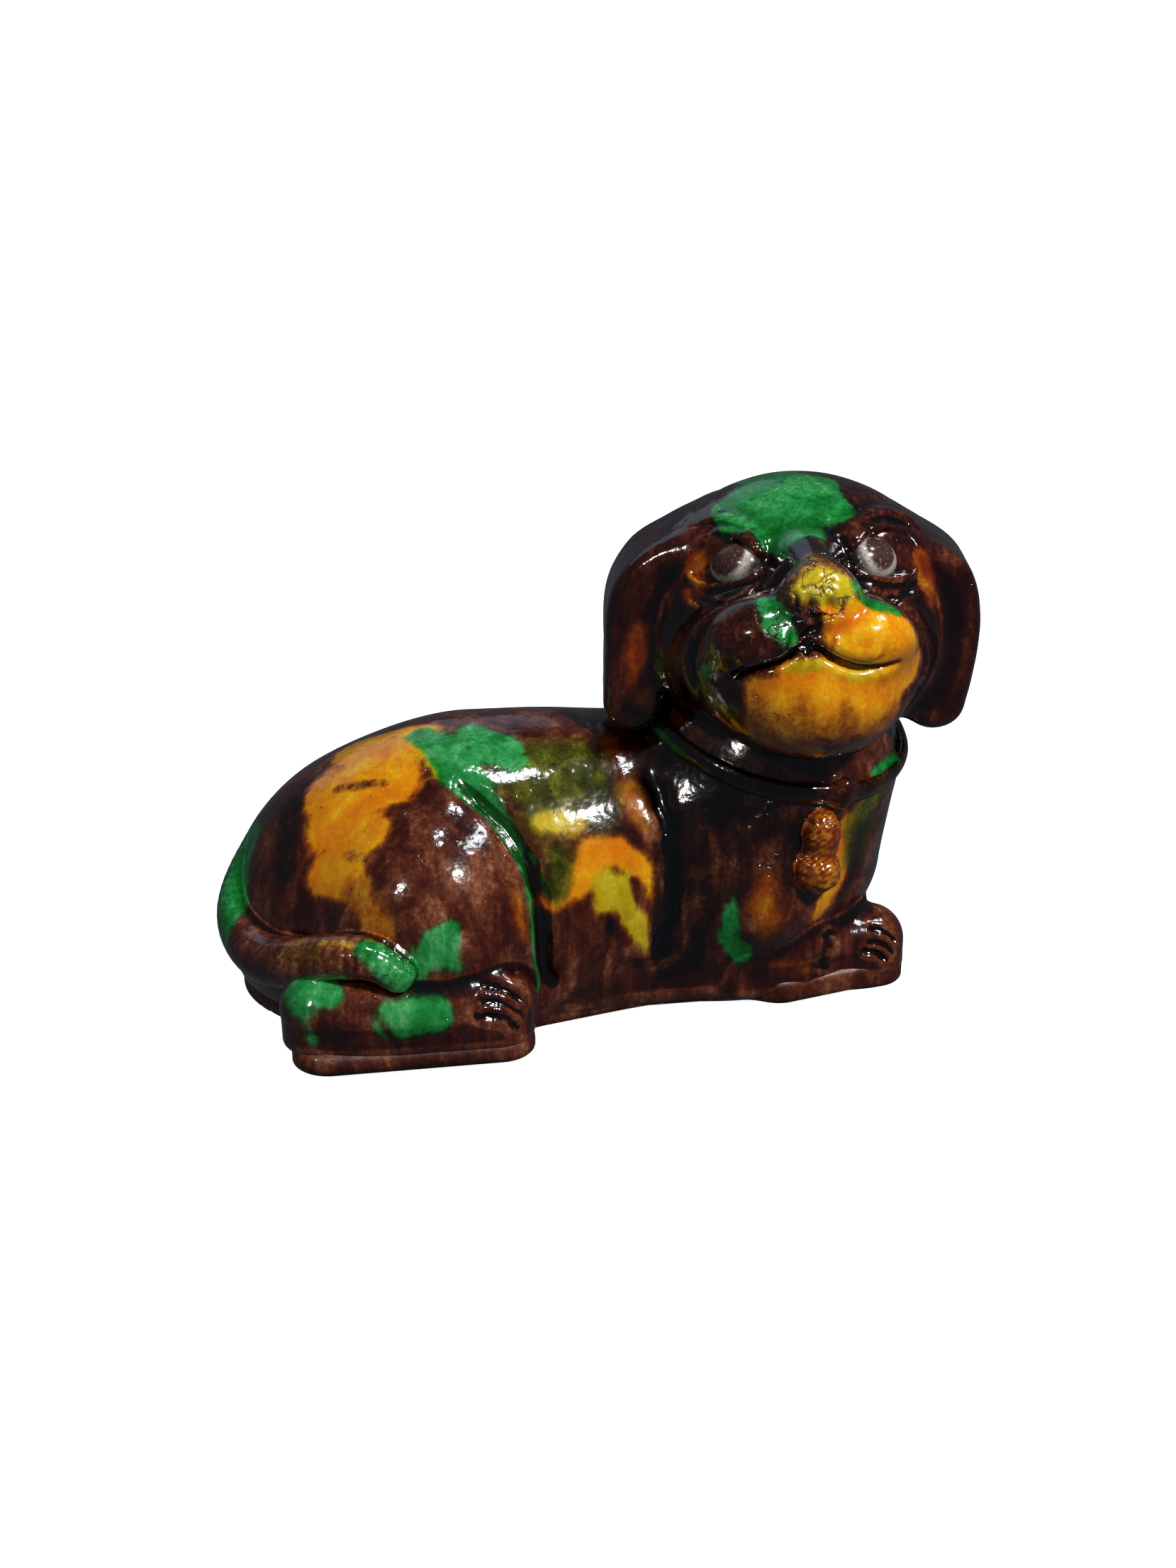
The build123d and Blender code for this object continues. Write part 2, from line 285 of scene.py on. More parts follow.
def piece_from(grid, name):
    """A mesh of quads between the rings, closed with a fan to one point at each end."""
    rings, spokes = grid.shape[:2]
    ring_ids = np.arange(rings * spokes).reshape(rings, spokes)
    nxt = np.roll(ring_ids, -1, axis=1)
    quads = np.stack([ring_ids[:-1], nxt[:-1], nxt[1:], ring_ids[1:]], axis=-1).reshape(-1, 4)
    tips = rings * spokes + np.arange(2)
    first = np.stack([nxt[0], ring_ids[0], np.full(spokes, tips[0])], axis=-1)
    last = np.stack([ring_ids[-1], nxt[-1], np.full(spokes, tips[1])], axis=-1)
    points = np.vstack([grid.reshape(-1, 3), grid[0].mean(axis=0), grid[-1].mean(axis=0)])
    a, b, c = (points[quads[:, k]] for k in range(3))
    volume = (np.cross(b - a, c - a) * (a - points.mean(axis=0))).sum()
    if volume < 0:
        quads, first, last = quads[:, ::-1], first[:, ::-1], last[:, ::-1]
    hollow = hollows(grid)
    hollow = np.concatenate([hollow.ravel(), [hollow[0].mean(), hollow[-1].mean()]])
    return new_piece(name, points, quads.tolist() + first.tolist() + last.tolist(), hollow)


# --- places ---------------------------------------------------------------------------------------------
BODY_WOBBLE = (46, 0.35, 3)     # length of the waves in mm, their height in mm, seed
HEAD_WOBBLE = (30, 0.25, 11)
HEAD_HEADING, HEAD_PITCH = math.radians(-9), math.radians(24)
HEAD_AT = vec(51.5, -12.0, 101.0)
face_right = vec(math.cos(HEAD_HEADING), math.sin(HEAD_HEADING), 0)
face_ahead = vec(math.sin(HEAD_HEADING) * math.cos(HEAD_PITCH), -math.cos(HEAD_HEADING) * math.cos(HEAD_PITCH),
                 math.sin(HEAD_PITCH))
face_up = np.cross(face_ahead, face_right)
FACE = (HEAD_AT, face_right, face_up, face_ahead)
FACE_AXES = np.stack([face_right, face_up, face_ahead], axis=1)
RIGHT_FLANK = (vec(0, 0, 0), vec(1, 0, 0), vec(0, 0, 1), vec(0, -1, 0))
LEFT_FLANK = (vec(0, 0, 0), vec(1, 0, 0), vec(0, 0, 1), vec(0, 1, 0))


def at_face(across, up, ahead):
    return HEAD_AT + face_right * across + face_up * up + face_ahead * ahead


# --- the clay masses of the body ------------------------------------------------------------------------
def body_clay(p):
    """Rump, thighs, belly, back, shoulders and chest in one smooth mass."""
    rump = egg(p, (-36, 0, 22), (60, 43, 47.5), turned(pitch=-6))
    for side in (-1, 1):
        thigh = egg(p, (-44, side * 28.5, 27), (26, 22.5, 29.5), turned(heading=-side * 4, pitch=-8))
        rump = joined(rump, thigh, 9)
    dx = np.maximum(np.maximum(-30 - p[:, 0], p[:, 0] - 34), 0)
    back = np.sqrt(dx**2 + p[:, 1] ** 2 + np.maximum(p[:, 2] - 37, 0) ** 2) - 32
    belly = egg(p, (-6, 0, 27), (44, 34.5, 40))
    trunk = joined(joined(rump, back, 8), belly, 10)
    chest = coil(p, [(45, -1, -12), (46, -2, 12), (47, -3, 34), (49, -4, 58), (50, -7, 74)], [20, 25.5, 31, 32.5, 27])
    shoulders = egg(p, (32, 0, 34), (26, 36.5, 40))
    front = joined(chest, shoulders, 14)
    for side in (-1, 1):
        arm = coil(p, [(42, side * 30, 44), (43, side * 32.5, 26)], [5.0, 7.0])
        front = joined(front, arm, 6)
    whole = joined(trunk, front, 10)
    return cut(whole, 1.0 - p[:, 2], 3)


def luted(lump, host, fillet, sunk=0.45):
    """A lump of clay with the fillet that lutes it to its host; the fillet's far edge is sunk under the host."""
    def field(p):
        own = lump(p)
        share = np.clip(own / fillet * 2.2 - 1.2, 0, 1)
        return np.maximum(joined(own, host(p) + sunk * share * share * (3 - 2 * share), fillet), own - fillet)
    return field


THIGH_LINE = [(-38, 66), (-30, 61), (-22.5, 53), (-17.5, 42), (-15.5, 27), (-15, 8)]
THIGH_VALLEY, THIGH_CREASE = (2.7, 3.6), (1.0, 0.9)
SHOULDER_LINE = [(10, 66), (14, 56), (15.5, 44), (15, 30), (14, 12)]
RIB_LINE = [(5, 64), (9, 54), (10.5, 42), (9.5, 28), (8, 14)]
SHOULDER_GROOVE, RIB_SWELL = (2.6, 1.7), (4.0, -0.5)
spine = [(-48, 0, 32), (50, -2, 36)]
body_skin = cast_skin(body_clay, spine, (0, -1, 0), 340, 290, 95, ends=(0.30, 0.26))
for view in (RIGHT_FLANK, LEFT_FLANK):
    crease = line_on(body_skin, THIGH_LINE, view)
    body_skin = tool(tool(body_skin, crease, THIGH_VALLEY), crease, THIGH_CREASE)
    body_skin = tool(body_skin, line_on(body_skin, SHOULDER_LINE, view), SHOULDER_GROOVE)
    body_skin = tool(body_skin, line_on(body_skin, RIB_LINE, view), RIB_SWELL)
body_skin = hand_wobble(body_skin, *BODY_WOBBLE)
body = piece_from(body_skin, "body_glazed")

# --- tail -----------------------------------------------------------------------------------------------
TAIL_LINE = [(-82, 6, 42), (-90, -3, 33), (-92, -14, 24), (-87, -27, 21), (-78, -38, 24), (-69, -45, 28.5),
             (-61, -49, 29), (-55, -51, 25.5)]
tail_line = smooth_path(TAIL_LINE, 40)
tail_radii = blend_numbers([3.0, 4.8, 6.0, 6.4, 6.4, 6.2, 5.8, 4.4], 40)


def tail_lump(p):
    return coil(p, tail_line, tail_radii)


tail_skin = cast_skin(luted(tail_lump, body_clay, 2.2), tail_line, (0, 0, 1), 330, 120, 16, ends=(0.04, 0.04))
tail = piece_from(hand_wobble(tail_skin, *BODY_WOBBLE), "tail_glazed")


# --- feet and forelegs ----------------------------------------------------------------------------------
def foot_lump(marks, radii, side, wall_top, underside):
    """A coil of clay whose side walls stand straight below the wall's top, cut flat at the underside."""
    line = smooth_path([(x, side * y, z) for x, y, z in marks], 12)
    radii = blend_numbers(radii, 12)

    def lump(p):
        own = coil(np.column_stack([p[:, :2], np.maximum(p[:, 2], wall_top)]), line, radii)
        return cut(own, underside - p[:, 2], 2.0)
    return lump


HIND_FOOT = [(-74, 44, 14.5), (-62, 46, 13.5), (-46, 46.5, 13), (-30.5, 45.5, 13.5)]
FORELEG = [(38, 25.5, 11), (50, 25.5, 13), (62, 22.5, 11.5), (72.5, 20.5, 10.5)]
HIND_TOES = ([(-37, 22.8), (-28, 21.4), (-21.2, 15.5)], [(-38, 20), (-28, 18), (-21.8, 12)],
             [(-38, 16.5), (-29, 14.4), (-23, 9)])
FORE_TOES = ([(70, 18.5), (76, 16.5), (80, 12)], [(69, 15.5), (75, 13.5), (79, 9)],
             [(68, 12), (73.5, 10.5), (77, 6.5)])
WRIST = [(60, 20), (59, 15), (58, 8)]
HIND_TOE_GROOVE, FORE_TOE_GROOVE, WRIST_GROOVE = (1.45, 1.5), (0.85, 1.2), (1.8, 0.9)

feet = {}
for name, view, side in (("right", RIGHT_FLANK, -1), ("left", LEFT_FLANK, 1)):
    lump = foot_lump(HIND_FOOT, [9.8, 9.4, 9.2, 10.0], side, 12.5, 5.0)
    axis = [(-70, side * 45, 13), (-30, side * 45.5, 12)]
    grid = cast_skin(luted(lump, body_clay, 3.5), axis, (0, side, 0), 240, 160, 26, ends=(0.2, 0.2))
    for toe in HIND_TOES:
        grid = tool(grid, line_on(grid, toe, view, 48), HIND_TOE_GROOVE, fade=0.3)
    feet[f"{name}_hind_foot"] = piece_from(hand_wobble(grid, *BODY_WOBBLE), f"{name}_hind_foot_glazed")
    lump = foot_lump(FORELEG, [9.0, 9.0, 8.2, 9.2], side, 10.5, 3.0)
    axis = [(42, side * 25.5, 11), (71, side * 21, 10)]
    grid = cast_skin(luted(lump, body_clay, 4.0), axis, (0, side, 0), 220, 160, 26, ends=(0.2, 0.22))
    for toe in FORE_TOES:
        grid = tool(grid, line_on(grid, toe, view), FORE_TOE_GROOVE, fade=0.2)
    grid = tool(grid, line_on(grid, WRIST, view), WRIST_GROOVE)
    feet[f"{name}_foreleg"] = piece_from(hand_wobble(grid, *BODY_WOBBLE), f"{name}_foreleg_glazed")


# --- slab -----------------------------------------------------------------------------------------------
SLAB_TOP = 7.5      # a little over the seat, so that the body and feet sink into it


def slab_clay(p):
    """The foot prints and the body's own outline, squashed to a slab with a sharp lower edge."""
    flat = p * vec(1, 1, 0)
    own = body_clay(flat + vec(0, 0, 8)) + 1.5
    for side in (-1, 1):
        own = joined(own, coil(flat, [(-72, side * 46, 0), (-30, side * 46, 0)], [9.5, 9.3]), 3)
        own = joined(own, coil(flat, [(46, side * 26, 0), (72.5, side * 20.5, 0)], [9.2, 9.0]), 3)
    return cut(cut(own, p[:, 2] - SLAB_TOP, 3.0), -p[:, 2], 0.8)


slab = piece_from(cast_skin(slab_clay, [(-45, 0, 3.5), (45, 0, 3.5)], (0, -1, 0), 300, 160, 95, ends=(0.3, 0.26)),
                  "slab_bare")


# --- head -----------------------------------------------------------------------------------------------
def head_clay(p):
    """Cranium, cheeks, muzzle, upper lips, jaw and nose, in the face's own axes."""
    q = (p - HEAD_AT) @ FACE_AXES
    cranium = egg(q, (0, 5, -4), (36.5, 30, 32))
    cheeks = egg(q, (0, -8, 0), (36, 27, 27))
    skull = joined(cranium, cheeks, 14)
    muzzle = egg(q, (0, -14, 19), (30.5, 22, 26))
    head = joined(skull, muzzle, 4)
    for side in (-1, 1):
        lip = egg(q, (side * 10.5, -10.5, 36), (15, 10, 12.5))
        head = joined(head, lip, 4)
    jaw = egg(q, (0, -24, 25), (22, 15, 18))
    head = joined(head, jaw, 5)
    nose = egg(q, (1.6, -1.6, 43.5), (9.4, 7.6, 7.6))
    bridge = coil(q, [(0.0, 8, 29), (1.4, 1, 41)], [7.0, 7.5])
    return joined(joined(head, bridge, 6), nose, 3)


head_skin = cast_skin(head_clay, [at_face(0, -6, 4.01), at_face(0, -6, 4)], face_up, 225, 430, 75, ends=(0.5, 0.5),
                      crowd=0.25)
EYES = {"right": (-20.0, 9.8), "left": (19.4, 11.2)}
eye_seats = {}
for name, place in EYES.items():
    seat = on_skin(head_skin, [place], FACE)[0]
    eye_seats[name] = (seat, unit(seat - at_face(0, -2, 6)))
for seat, _ in eye_seats.values():
    head_skin = dab(head_skin, seat, (10, 10, 10), -2.4)

# Lines round the right eye, from its outer corner to the nose, and the stroke that tools each; the left is mirrored.
LIDS = [([(-9.5, 0), (-6, 6.3), (1, 10.2), (8, 8), (12.5, 1)], (2.8, -2.4)),
        ([(-9, -2), (-4.5, 4.4), (1.5, 6.6), (7.0, 4.4), (10, -1)], (1.3, -2.3)),
        ([(-9, -2.5), (-4.5, -5.2), (1.5, -6.0), (7.0, -4.6), (10, -0.5)], (1.1, -1.3)),
        ([(-10.5, -3), (-4.5, -8.6), (3, -10), (10, -7)], (1.0, 0.7))]
for name, side in (("right", -1), ("left", 1)):
    across, up = EYES[name]
    for marks, stroke in LIDS:
        line = line_on(head_skin, [(across + side * x, up + y) for x, y in marks], FACE)
        head_skin = tool(head_skin, line, stroke)

CHEEK_LINES = ([(-5, 9), (-9, 4.5), (-16, 1), (-23, -2.5), (-28, -8.5), (-30, -16), (-28, -25)],
               [(6.5, 8.5), (11, 5.5), (17, 2.5), (23.5, -0.5), (28.5, -6), (30.5, -14), (29, -24)])
for line in CHEEK_LINES:
    head_skin = tool(head_skin, line_on(head_skin, line, FACE), (2.2, 2.5))
MOUTH = [(-21, -21.5), (-14, -20), (-7, -18.2), (-1.4, -14.8), (3.5, -17.6), (11, -20), (19, -19), (21, -17)]
head_skin = tool(head_skin, line_on(head_skin, MOUTH, FACE, 60), (1.05, 2.5), fade=0.06)
for line in ([(-19, -18), (-12, -16), (-5, -13)], [(3, -14), (9, -16.5), (16, -16.5)]):
    head_skin = tool(head_skin, line_on(head_skin, line, FACE), (2.0, -0.8))
head_skin = tool(head_skin, line_on(head_skin, [(0.6, -7), (-0.8, -11), (-1.4, -15)], FACE), (1.2, 1.3), fade=0.05)
for nostril in ((-2.6, -5.6), (4.0, -6.0)):
    head_skin = dab(head_skin, on_skin(head_skin, [nostril], FACE)[0], (1.9, 1.7, 2.4), -1.9)
for line in ([(-6.6, -2), (-5.6, -5), (-4.5, -7.5)], [(9.0, -2.2), (7.6, -5.4), (5.6, -8)]):
    head_skin = tool(head_skin, line_on(head_skin, line, FACE), (0.9, 1.0))
NOSE_CRACKS = ([(-5.5, 0.2), (-2.5, 1.2), (-1, 0.4)], [(1.5, 2.4), (4, 3), (5.5, 2)], [(0.2, 1.5), (0.8, -1.0)],
               [(3.6, 0.6), (5.4, -1.6)])
for line in NOSE_CRACKS:
    head_skin = tool(head_skin, line_on(head_skin, line, FACE), (0.45, 0.5))
head_skin = hand_wobble(head_skin, *HEAD_WOBBLE)
head = piece_from(head_skin, "head_glazed")

# --- eyes -----------------------------------------------------------------------------------------------
IRIS = {"right": (0.1, 0.3, 5.0), "left": (-1.2, -0.2, 4.4)}     # across, up and radius in mm
EYEBALL, EYE_SUNK, EYE_SHADE_RADIUS = (7.4, 5.5, 5.0), 3.0, 7.0
eyes = {}
for name, (seat, outward) in eye_seats.items():
    right = unit(np.cross(face_up, outward))
    eye_axes = np.stack([right, np.cross(outward, right), outward], axis=1)
    middle = seat - outward * EYE_SUNK

    def eye_clay(p):
        return egg(p, middle, EYEBALL, eye_axes)
    grid = cast_skin(eye_clay, [middle, middle + outward * 0.01], face_up, 60, 96, 10, ends=(0.5, 0.5))
    eyes[name] = piece_from(grid, f"{name}_eye_glazed")
    q = (np.vstack([grid.reshape(-1, 3), grid[0].mean(axis=0), grid[-1].mean(axis=0)]) - middle) @ eye_axes
    across, up, radius = IRIS[name]
    keep(eyes[name].data, "iris", np.hypot(q[:, 0] - across, q[:, 1] - up) - radius)
    # Distance to the eyeball's edge by the lids, kept for a ring of painted shade.
    keep(eyes[name].data, "painted_lid_shade", np.hypot(q[:, 0], q[:, 1] * 1.15) - EYE_SHADE_RADIUS)


# --- ears -----------------------------------------------------------------------------------------------
EAR_AHEAD = vec(math.sin(HEAD_HEADING), -math.cos(HEAD_HEADING), 0)
EAR_AXES = np.stack([face_right, EAR_AHEAD, vec(0, 0, 1)], axis=1)
EAR_LINES = {"right": [(-22, 20), (-30, 17), (-38.2, 11), (-42, 2), (-41.5, -12), (-41.5, -23)],
             "left": [(20, 18.5), (28.5, 16), (36.5, 10), (38.3, 0), (36.5, -13), (35, -21.5)]}
EAR_THICKNESS = {"right": [4.0, 4.6, 5.4, 6.4, 7.2, 7.4], "left": [4.0, 5.0, 6.2, 7.2, 8.0, 8.0]}
EAR_BACK, EAR_HALF_SWEEP, EAR_ROUNDING, EAR_SQUARENESS = 2.5, 8.5, 5, 2.6

ears = {}
for name, line in EAR_LINES.items():
    flat_line = np.array([(a, 0, z) for a, z in smooth_path(line, 48)])
    thick = blend_numbers(EAR_THICKNESS[name], 48)

    def ear_lump(p):
        q = (p - HEAD_AT) @ EAR_AXES
        across = np.maximum(coil(q * vec(1, 0, 1), flat_line, thick) + EAR_ROUNDING, 0)
        sweep = np.maximum(np.abs(q[:, 1] + EAR_BACK) - EAR_HALF_SWEEP, 0)
        return (across**EAR_SQUARENESS + sweep**EAR_SQUARENESS) ** (1 / EAR_SQUARENESS) - EAR_ROUNDING
    axis = [HEAD_AT + EAR_AXES @ vec(a, -EAR_BACK, z) for a, z in smooth_path(line, 12)[2:-1]]
    grid = cast_skin(luted(ear_lump, head_clay, 5.0), axis, EAR_AHEAD, 230, 170, 24, ends=(0.14, 0.14))
    ears[name] = piece_from(hand_wobble(grid, *HEAD_WOBBLE), f"{name}_ear_glazed")


# --- collar and pendant ---------------------------------------------------------------------------------
NECK_AXIS = vec(49, -3, 0)
COLLAR_HEIGHT, COLLAR_SLOPE = 68.6, (-0.168, 0.237)     # at the neck's axis, and its rise along X and Y
ROSETTE_AT, ROSETTE_RADIUS, ROSETTE_SWELL = vec(58.5, -35), 2.6, 0.75


def carry_round(path, upward, outward, profile, swell, name):
    """A profile of (out, up) marks, swollen from ring to ring, carried round a closed path on its own two axes."""
    marks = outward[:, None] * profile[None, :, :1] + upward[:, None] * profile[None, :, 1:]
    rings = path[:, None] + marks * swell[:, None, None]
    count, marks = rings.shape[:2]
    ids = np.arange(count * marks).reshape(count, marks)
    ahead, beside = np.roll(ids, -1, axis=0), np.roll(ids, -1, axis=1)
    both = np.roll(ahead, -1, axis=1)
    quads = np.stack([ids, ahead, both, beside], axis=-1).reshape(-1, 4)
    return new_piece(name, rings.reshape(-1, 3), quads.tolist(), np.zeros(count * marks))


turn = np.linspace(0, 2 * np.pi, int(520 * DETAIL), endpoint=False)
outward = np.stack([np.cos(turn), np.sin(turn), 0 * turn], axis=1)
low, high = np.full(len(turn), 15.0), np.full(len(turn), 50.0)
for _ in range(20):
    reach = (low + high) / 2
    spot = NECK_AXIS + outward * reach[:, None]
    spot[:, 2] = COLLAR_HEIGHT + (spot - NECK_AXIS)[:, :2] @ vec(*COLLAR_SLOPE)
    inside = body_clay(spot) < 0
    low, high = np.where(inside, reach, low), np.where(inside, high, reach)
rng = np.random.default_rng(21)
wave = sum(np.sin(k * turn + rng.uniform(0, 6.28)) / k for k in (3, 5, 8, 13))
spot += outward * 0.2 * wave[:, None] + vec(0, 0, 1) * 0.4 * np.roll(wave, 40)[:, None]
corner = np.linspace(0, 2 * np.pi, 24, endpoint=False)
band = np.stack([2.0 * np.cos(corner) + 0.3, 2.9 * np.sin(corner)], axis=1)
rosette = np.exp(-(np.linalg.norm(spot[:, :2] - ROSETTE_AT, axis=1) / ROSETTE_RADIUS) ** 2)
upward = np.broadcast_to(vec(0.15, -0.2, 0.97), spot.shape)
collar = carry_round(spot, upward, outward, band, 1 + ROSETTE_SWELL * rosette, "collar_glazed")


def pendant_lump(p):
    top = egg(p, (54.0, -37.0, 49.2), (4.6, 4.6, 6.2))
    low = egg(p, (53.0, -36.9, 39.5), (5.9, 5.6, 6.4))
    return joined(top, low, 2)


PENDANT_WRINKLES = (4.2, 0.42, 17)
pendant_skin = cast_skin(luted(pendant_lump, body_clay, 1.4, 0.3), [(54.0, -36.3, 50), (53.0, -36.0, 39)],
                         (0, -1, 0), 150, 120, 14, ends=(0.3, 0.3))
pendant = piece_from(hand_wobble(pendant_skin, *PENDANT_WRINKLES), "pendant_glazed")

# --- glaze: where each colour was brushed ---------------------------------------------------------------
# Each stroke is a list of places in mm and the brush's half width at each.
BODY_STROKES = {
    "amber": [([(-60, -1, 66), (-46, -6, 69)], [8, 8]), ([(-69, -12, 58), (-52, -18, 63)], [7.5, 8]),
              ([(-69, -21, 51), (-60, -29, 55)], [6.5, 6.5]), ([(-70, -29, 43), (-64, -37, 44)], [6, 5]),
              ([(-15, -37, 36), (-9, -37, 40), (-3, -34, 47)], [3.5, 4.6, 4.2]),
              ([(-3, -34, 47), (3, -34, 46), (9, -34, 41), (11, -34, 33)], [4, 4, 3.2, 2]),
              ([(62, -33, 50), (62, -32, 42), (60, -33, 34), (55, -34, 25)], [3, 3.6, 3.8, 2.8]),
              ([(-58, 28, 55), (-42, 33, 52)], [8, 7]), ([(-66, 36, 40), (-58, 42, 34)], [6, 5]),
              ([(20, 36, 50), (18, 37, 36)], [5, 4]), ([(80, 6, 50), (78, 8, 36)], [4, 3])],
    "lime": [([(-1, -35, 40), (-2, -37, 34)], [3.4, 3]), ([(-16, -31, 55), (-8, -32, 54)], [3.2, 3.4]),
             ([(-44, -8, 70), (-42, -15, 68), (-41, -20, 65)], [2.4, 3, 2.6]),
             ([(2, -36, 37), (5, -37, 30), (9, -36, 24), (10, -36, 18)], [4, 3.8, 3.2, 1.4]),
             ([(-80, -38, 29), (-76, -41, 32)], [0.8, 0.6]), ([(-72, -46, 33), (-66, -50, 34)], [1.0, 0.7]),
             ([(26, 35, 40), (24, 36, 28)], [4, 3])],
    "green": [([(-44, -5, 70), (-38, -14, 68), (-36, -20, 65), (-29, -26, 56), (-24, -33, 47), (-21.5, -38, 38),
               (-20.5, -41, 27), (-20, -41, 14)], [3.5, 5, 5.6, 4.6, 3.4, 2.4, 1.8, 1.4]),
              ([(-31, -8, 70), (-24, -13, 68.5), (-21, -19, 65)], [5, 4.6, 3.2]),
              ([(-29, -15, 68), (-25, -17, 67.5)], [3, 3]),
              ([(-50, -49, 26), (-45, -50, 32), (-41, -50, 37)], [2.6, 4, 1.6]),
              ([(-45, -50, 32), (-40, -50, 26)], [3.4, 1.6]),
              ([(-88, -2, 42), (-92, -8, 35), (-94, -13, 29), (-95, -19, 22)], [5, 5.4, 5.2, 4.4]),
              ([(-61, -52, 33), (-54, -54, 27)], [4, 5.4]), ([(-79, -46, 20), (-72, -50, 21)], [4, 4]),
              ([(-78, -50, 17), (-76, -52, 11)], [2.6, 1.8]), ([(-57, -55, 15), (-47, -55, 16)], [5, 5]),
              ([(29.5, -38, 38), (30.5, -38, 30), (31, -38, 22), (34, -37, 16)], [1.2, 2.4, 3.0, 3.4]),
              ([(15, -16, 71.5), (20, -25, 68), (26, -32, 65), (34, -36, 63)], [1.6, 1.6, 1.4, 0.9]),
              ([(69, -29, 62), (76, -22, 62)], [1.8, 2.2]), ([(-22, 34, 56), (-20, 40, 40)], [7, 5]),
              ([(-92, 14, 34), (-86, 26, 30)], [7, 6]), ([(60, 24, 60), (58, 28, 42)], [5, 4]),
              ([(-60, 54, 15), (-48, 55, 15)], [5, 4]), ([(60, 30, 16), (68, 28, 15)], [3, 3])],
    "olive": [([(-14, -18, 66), (-12, -26, 60)], [7, 6]), ([(-5, -18, 66), (-3, -26, 60), (-2, -30, 56)], [6, 6, 5]),
              ([(-21, -24, 61), (-17, -30, 55)], [4, 4]), ([(-13, -35, 48), (-14, -37.5, 39)], [3.2, 2.6]),
              ([(69, -29, 57), (67, -31, 50), (66, -30, 40)], [4.5, 5, 4]),
              ([(-84, -36, 24), (-74, -46, 30)], [2, 1.6]), ([(0, 34, 54), (-6, 36, 40)], [7, 5])],
    "rust": [([(3, -12, 67), (6, -22, 62), (8, -30, 54)], [3, 3, 2.5]),
             ([(-63, -39, 42), (-58, -44, 36), (-58, -46, 31)], [4, 4, 3]),
             ([(-25, -42, 39), (-23, -44, 30)], [1.8, 1.8]),
             ([(39, -39, 38), (38.5, -39, 32), (40, -39, 25)], [2.6, 3.8, 3.0]),
             ([(44, -34, 12), (52, -34, 10)], [2, 1.4]), ([(-30, 44, 40), (-28, 46, 30)], [3, 3]),
             ([(40, 38, 36), (38, 39, 26)], [4, 4])],
    "dark": [([(-66, -13, 59.0), (-61, -15, 60.2), (-55, -17, 61.6)], [0.3, 0.8, 0.3]),
             ([(-1, -37, 29), (0, -37, 26)], [2.0, 1.4]), ([(-62, -54, 19), (-56, -56, 9)], [0.7, 0.7]),
             ([(20, -22, 60), (18, -36, 36), (18, -36, 16)], [7, 7, 7]),
             ([(30, -30, 62), (31, -35, 48), (22, -37, 30)], [9, 8, 5]),
             ([(46, -35, 62), (46, -35, 46), (46, -34, 32)], [8, 6, 3.5]), ([(-77, -8, 52), (-80, -20, 42)], [4, 4])],
}
PENDANT_STROKES = {
    "rust": [([(54, -38, 56), (53, -38, 32)], [12, 12])],
}
